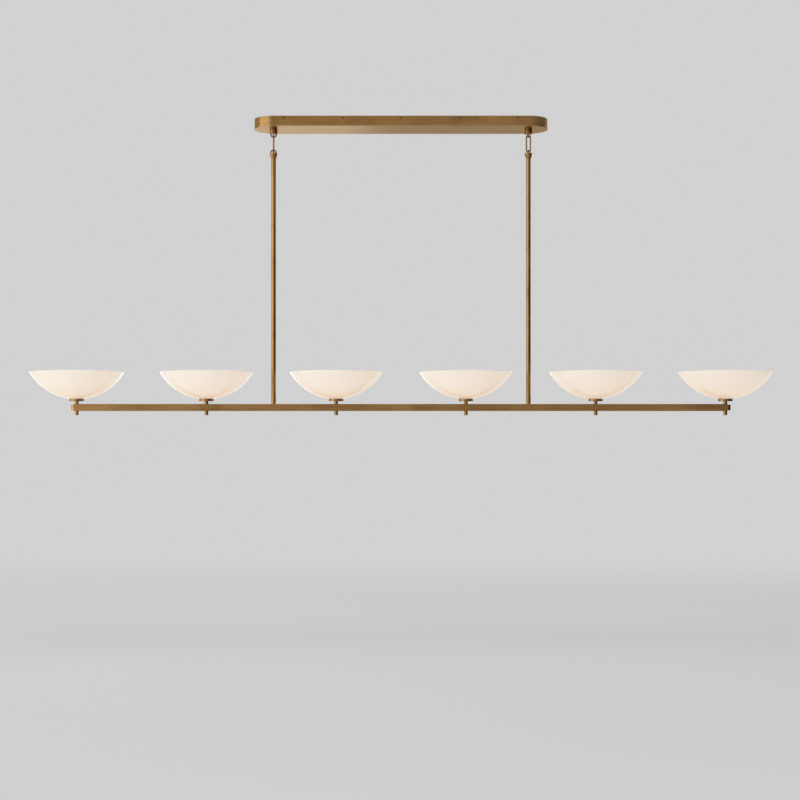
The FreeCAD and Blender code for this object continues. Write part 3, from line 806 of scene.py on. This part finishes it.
def makeSideScrews(finishes):
    r, h = sideScrew["radius"], sideScrew["height"]
    rimHeight, domeHeight = sideScrew["rimShare"], sideScrew["domeShare"]
    outline = [(0, 0), (r, 0), (r, h * rimHeight)]
    for i in range(1, sideScrew["domeSteps"] + 1):
        angle = math.pi / 2 * i / sideScrew["domeSteps"]
        outline.append((r * math.cos(angle), h * (rimHeight + domeHeight * math.sin(angle))))
    head = turned(outline, 0, sideScrew["turns"])
    slotSize = (sideScrew["slotLength"] * r, sideScrew["slotWidth"], 2 * sideScrew["slotDepth"])
    combine(head, block((0, 0, h), slotSize), "DIFFERENCE")
    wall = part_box("canopy_band")[1].y
    for number, ((side, _), points) in enumerate(screwPoints(), 1):
        outer = [p for p in points if abs(p.y) > wall + sideScrew["outside"]]
        x = (min(p.x for p in outer) + max(p.x for p in outer)) / 2
        z = (min(p.z for p in outer) + max(p.z for p in outer)) / 2
        piece = copyTo(head, (0, 0, 0))
        piece.rotation_euler = (-side * math.pi / 2, math.radians(sideScrew["twist"] * number), 0)
        piece.location = (x, side * wall, z)
        settle(piece)
        finish, slot = finishes["screwBrass"], "dark_screw_brass"
        place(piece, f"sideScrew_{number}", "ceiling_set", finish, slot, "canopy_side_screws")
    bpy.data.objects.remove(head)
    print("side screws made")


# ---- hangers
hanger = {
    "wire": 4.0 * mm,
    "loopRadius": 7.25 * mm,
    "wireway": 2.5 * mm,
    "collarBore": 6.4 * mm,
    "baseHeight": 3.4 * mm,
    "rodBaseHeight": 3.0 * mm,
    "shank": 6.35 * mm,
    "rodShank": 5.0 * mm,
    "edge": 0.7 * mm,
    "turns": 64,
}


def makeLink(side, finishes):
    node = f"{side}_link"
    low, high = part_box(node)
    x = middleX(node)
    wire = hanger["wire"]
    radius = max(high.x - low.x, high.y - low.y) / 2 - wire / 2
    top, bottom = high.z - wire / 2 - radius, low.z + wire / 2 + radius
    piece = ringOfWire(x, top, radius, wire)
    bend(x, top, True)
    draw(bottom - top)
    bend(x, bottom, True)
    draw(top - bottom)
    sealMesh()
    if high.y - low.y > high.x - low.x:
        quarterTurn(piece, x)
    place(piece, f"{side}Link", f"{side}_link", finishes["brassZ"], "aged_brass", node)


def makeLoop(side, upper, finishes):
    # the upper loop hangs below its round base, and the lower one stands on the rod's base
    node = f"{side}_hanger_loop" if upper else f"{side}_rod_loop"
    low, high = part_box(node)
    x = middleX(node)
    wire, radius, way = hanger["wire"], hanger["loopRadius"], 1 if upper else -1
    bow = low.z + wire / 2 + radius if upper else high.z - wire / 2 - radius
    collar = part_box(f"{side}_hanger_collar")[0].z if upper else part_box(f"{side}_rod_coupling")[1].z
    baseHeight = hanger["baseHeight"] if upper else hanger["rodBaseHeight"]
    face = collar - way * baseHeight
    shank = hanger["shank"] if upper else hanger["rodShank"]
    end = high.z if upper else low.z
    legEnd = face + way * baseHeight / 2
    ring = ringOfWire(x, legEnd, radius, wire)
    draw(bow - legEnd)
    bend(x, bow, not upper)
    draw(legEnd - bow)
    bpy.ops.mesh.select_all(action="SELECT")
    bpy.ops.mesh.fill_holes(sides=0)
    sealMesh()
    hidden, reach = hanger["wireway"], halfWidth(node)
    outline = [(hidden, face), (reach, face), (reach, collar), (shank, collar), (shank, end)]
    outline.append((hidden, end))
    base = turned(outline, x, hanger["turns"])
    bevel(base, hanger["edge"] / 2)
    # the loop stands across its link
    linkLow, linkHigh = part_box(f"{side}_link")
    if linkHigh.y - linkLow.y < linkHigh.x - linkLow.x:
        quarterTurn(ring, x)
    combine(base, ring, "UNION")
    body = "ceiling_set" if upper else "hanging_frame"
    name = f"{side}HangerLoop" if upper else f"{side}RodLoop"
    place(base, name, body, finishes["brassBand"], "aged_brass", node)


def makeCollar(side, finishes):
    node = f"{side}_hanger_collar"
    low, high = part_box(node)
    radius, bore = halfWidth(node), hanger["collarBore"]
    outline = [(bore, low.z), (radius, low.z), (radius, high.z), (bore, high.z)]
    piece = turned(outline, middleX(node), hanger["turns"])
    bevel(piece, hanger["edge"] / 2)
    place(piece, f"{side}HangerCollar", "ceiling_set", finishes["brassBand"], "aged_brass", node)


# ---- rods
rod = {
    "radius": 6.35 * mm,
    "bore": 5.15 * mm,
    "threadRoom": 0.05 * mm,
    "shoulder": 3.8 * mm,
    "lip": 0.9 * mm,
    "foot": 1.5 * mm,
    "seatDepth": 6.9 * mm,
    "loopBore": 5.05 * mm,
    "ringHeight": 3.5 * mm,
    "neckInset": 0.35 * mm,
    "edge": 0.3 * mm,
    "taperAngle": math.radians(12),
    "seam": 0.7 * mm,
    "seamSteps": 2,
    "ringEdge": 0.6 * mm,
    "turns": 64,
}


def makeRods(side, finishes):
    r, bore = rod["radius"], rod["bore"]
    for part in ("upper", "lower"):
        node = f"{side}_{part}_rod"
        low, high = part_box(node)
        outline = [(bore, low.z), (r, low.z), (r, high.z), (bore, high.z)]
        piece = turned(outline, middleX(node), rod["turns"])
        bevel(piece, rod["seam"], rod["seamSteps"])
        name = f"{side}{part.title()}Rod"
        place(piece, name, "hanging_frame", finishes["brassZ"], "aged_brass", node)


def makeCoupling(side, finishes):
    node = f"{side}_rod_coupling"
    low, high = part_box(node)
    radius = halfWidth(node)
    lowRadius = rod["radius"] + rod["lip"]
    seatZ = low.z + rod["seatDepth"]
    bore = rod["radius"] + rod["threadRoom"]
    outline = [(rod["loopBore"], high.z), (radius, high.z), (radius, high.z - rod["shoulder"])]
    outline += [(lowRadius, low.z + rod["foot"]), (lowRadius, low.z), (bore, low.z), (bore, seatZ)]
    outline.append((rod["loopBore"], seatZ))
    piece = turned(outline, middleX(node), rod["turns"])
    bevel(piece, rod["edge"], angle=rod["taperAngle"])
    place(piece, f"{side}RodCoupling", "hanging_frame", finishes["brassBand"], "aged_brass", node)


def makeFoot(side, finishes):
    node = f"{side}_rod_foot"
    low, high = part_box(node)
    radius = halfWidth(node)
    neck = rod["radius"] - rod["neckInset"]
    ringLow = high.z - rod["ringHeight"]
    bore = rod["bore"] + rod["threadRoom"]
    outline = [(bore, low.z), (neck, low.z), (neck, ringLow), (radius, ringLow), (radius, high.z)]
    outline.append((bore, high.z))
    piece = turned(outline, middleX(node), rod["turns"])
    bevel(piece, rod["ringEdge"])
    place(piece, f"{side}RodFoot", "hanging_frame", finishes["brassBand"], "aged_brass", node)


# ---- end caps of the bar
endCap = {
    "nose": 9.0 * mm,
    "noseSides": 66,
    "plug": 1.0 * mm,
    "edge": 0.5 * mm,
    "flatAngle": math.radians(0.5),
    "tongue": 3.0 * mm,
    "tongueInset": 2.4,
    "stemHole": 4.1 * mm,
    "holeDepth": 20.0 * mm,
    "holeSides": 40,
}


def makeEndCap(side, finishes):
    node = f"{side}_end_cap"
    low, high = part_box(node)
    half = high.y
    way = -1 if side == "left" else 1
    tip = low.x if way < 0 else high.x
    arc = tip - way * half
    inner = tip - way * (endCap["nose"] + endCap["plug"])
    piece = stadium(arc, 0, half, low.z, True, endCap["noseSides"])
    # the half of the disc that faces inward is pulled flat against the bar
    pickVertices(piece, lambda co: way * (co.x - arc) < -merging)
    bpy.ops.transform.resize(value=(0, 1, 1), center_override=(inner, 0, 0))
    bpy.ops.object.mode_set(mode="OBJECT")
    drawAll(piece, high.z - low.z)
    bpy.ops.mesh.select_all(action="SELECT")
    bpy.ops.mesh.dissolve_limited(angle_limit=endCap["flatAngle"])
    sealMesh()
    bevel(piece, endCap["edge"])
    # the tongue under the bar's top wall, which the last stem passes through
    tongueEnd = high.x if way < 0 else low.x
    length = abs(tongueEnd - inner) + endCap["plug"] / 2
    thick = endCap["tongue"] - endCap["edge"] / 2
    tongueMiddle = (tongueEnd + way * length / 2, 0, high.z - endCap["tongue"] + thick / 2)
    tongueSize = (length, 2 * half - endCap["tongueInset"] * endCap["edge"], thick)
    combine(piece, block(tongueMiddle, tongueSize), "UNION")
    stemX = middleX("glass_bowl_1" if way < 0 else f"glass_bowl_{bowlCount}")
    hole = cylinder((stemX, 0, high.z), endCap["stemHole"], endCap["holeDepth"], endCap["holeSides"])
    combine(piece, hole, "DIFFERENCE")
    place(piece, f"{side}EndCap", "hanging_frame", finishes["brassBand"], "aged_brass", node)


def makeHangers(finishes):
    for side in ("left", "right"):
        makeCollar(side, finishes)
        makeLoop(side, True, finishes)
        makeLink(side, finishes)
        makeLoop(side, False, finishes)
        makeCoupling(side, finishes)
        makeRods(side, finishes)
        makeFoot(side, finishes)
        makeEndCap(side, finishes)
        print(side, "hanger, rod and end cap made")


# ---- CAD nodes that stay, and their finishes
def finishNodes(finishes):
    kept = {
        "crossbar": "brassX",
        "ceiling_plate": "zinc",
        "hanger_washers": "zinc",
        "hanger_nuts": "zinc",
        "rod_nipples": "zinc",
        "rod_lock_nuts": "zinc",
        "bowl_stems": "zinc",
        "terminal_screws": "zinc",
        "earth_screw": "zinc",
        "terminal_block": "plastic",
        "bowl_gaskets": "silicone",
        "line_wiring": "blackWire",
        "neutral_wiring": "whiteWire",
    }
    for node, finish in kept.items():
        nodes[node].data.materials.clear()
        nodes[node].data.materials.append(finishes[finish])
    print("finishes on", len(kept), "CAD nodes")


# ---- floor, backdrop and light
studio = {
    "floorZ": -1.43,
    "floorSize": 60.0,
    "floor": (0.89, 0.89, 0.89, 1),
    "floorRoughness": 0.9,
    "floorSheen": 0.1,
    "fadeFrom": 0.7,
    "fadeTo": 2.8,
    "fadeAlong": 0.4,
    "pale": (0.64, 0.64, 0.64, 1),
    "evenness": 0.55,
    "air": 0.45,
    "cardTint": (0.93, 0.97, 1.0, 1),
    "target": (0, 0, -0.45),
}
# cards that only reflections show: a dark one at the right, and pale ones at the left, front left
# and behind
cards = {
    "dark": {"place": (2.2, -1.65, -0.5), "turn": 90, "size": (5.3, 1.8), "shade": 0.04, "glow": 0.0},
    "side": {"place": (-3.6, -0.8, -0.4), "turn": 102, "size": (1.3, 2.2), "shade": 0.8, "glow": 3.3},
    "front": {"place": (-2.5, -4.4, -0.3), "turn": 30, "size": (1.5, 1.6), "shade": 0.8, "glow": 1.1},
    "back": {"place": (-1.7, 4.6, -0.85), "turn": 0, "size": (3.0, 1.1), "shade": 0.8, "glow": 1.3},
}
softLights = {
    "key": {"place": (-3.8, -3.4, 0.0), "size": (3.0, 3.4), "power": 60.0, "tint": (0.75, 0.91, 1.0)},
    "top": {"place": (-0.3, -0.3, 2.9), "size": (3.6, 3.6), "power": 72.0, "tint": (1.0, 1.0, 1.0)},
}


def seenDirectly(tree):
    path = addNode(tree, "LightPath", {}).outputs
    seen = maths(tree, "MAXIMUM", path["Is Camera Ray"], path["Is Glossy Ray"])
    return maths(tree, "MAXIMUM", seen, path["Is Transmission Ray"])


def facing(spot):
    return (Vector(studio["target"]) - Vector(spot)).to_track_quat("-Z", "Y").to_euler()


def makeFloor():
    deselectAll()
    bpy.ops.mesh.primitive_plane_add(size=studio["floorSize"], location=(0, 0, studio["floorZ"]))
    floor = bpy.context.object
    floor.name = "studioFloor"
    finish, tree, shader = newFinish("paleFloor")
    shader.inputs["Base Color"].default_value = studio["floor"]
    shader.inputs["Roughness"].default_value = studio["floorRoughness"]
    shader.inputs["Specular IOR Level"].default_value = studio["floorSheen"]
    away = stretched(tree, objectPlace(tree), (studio["fadeAlong"], 1, 1))
    distance = addNode(tree, "VectorMath", {0: away}, operation="LENGTH").outputs["Value"]
    reach = (studio["fadeFrom"], studio["fadeTo"])
    fade = spread(tree, distance, reach, (studio["evenness"], 1.0), "SMOOTHSTEP")
    far = addNode(tree, "Emission", {"Color": studio["pale"], "Strength": 1.0}).outputs[0]
    blend = addNode(tree, "MixShader", {0: maths(tree, "MULTIPLY", fade, seenDirectly(tree))})
    tree.links.new(shader.outputs[0], blend.inputs[1])
    tree.links.new(far, blend.inputs[2])
    tree.links.new(blend.outputs[0], tree.nodes["Material Output"].inputs["Surface"])
    floor.data.materials.append(finish)


def makeCards():
    for name, values in cards.items():
        deselectAll()
        turn = (math.radians(90), 0, math.radians(values["turn"]))
        bpy.ops.mesh.primitive_plane_add(size=1, location=values["place"], rotation=turn)
        piece = bpy.context.object
        piece.scale = (*values["size"], 1)
        piece.name = name + "Card"
        finish, tree, shader = newFinish(name + "CardPaper")
        shade = values["shade"]
        shader.inputs["Base Color"].default_value = (shade, shade, shade, 1)
        shader.inputs["Roughness"].default_value = 1.0
        shader.inputs["Emission Color"].default_value = studio["cardTint"]
        shader.inputs["Emission Strength"].default_value = values["glow"]
        piece.data.materials.append(finish)
        piece.visible_camera = False
        piece.visible_diffuse = False
        piece.visible_shadow = False


def makeAir():
    world = bpy.data.worlds.new("paleRoom")
    world.use_nodes = True
    bpy.context.scene.world = world
    tree = world.node_tree
    air = tree.nodes["Background"]
    air.inputs["Color"].default_value = studio["pale"]
    strength = spread(tree, seenDirectly(tree), (0, 1), (studio["air"], 1.0))
    tree.links.new(strength, air.inputs["Strength"])


def makeStage():
    makeFloor()
    makeCards()
    makeAir()
    for name, values in softLights.items():
        spot = values["place"]
        bpy.ops.object.light_add(type="AREA", location=spot, rotation=facing(spot))
        light = bpy.context.object
        light.name = name + "Light"
        light.data.shape = "RECTANGLE"
        light.data.size, light.data.size_y = values["size"]
        light.data.energy = values["power"]
        light.data.color = values["tint"]
        light.visible_camera = False
    bpy.context.scene.view_settings.view_transform = "Standard"
    print("stage and lights made")


makeCamera()
finishes = makeFinishes()
makeBowls(finishes)
makeSeats(finishes)
makeBowlNuts(finishes)
makeCapNuts(finishes)
makeHolders(finishes)
makeLamps(finishes)
makeCanopy(finishes)
makeSideScrews(finishes)
makeHangers(finishes)
finishNodes(finishes)
makeStage()
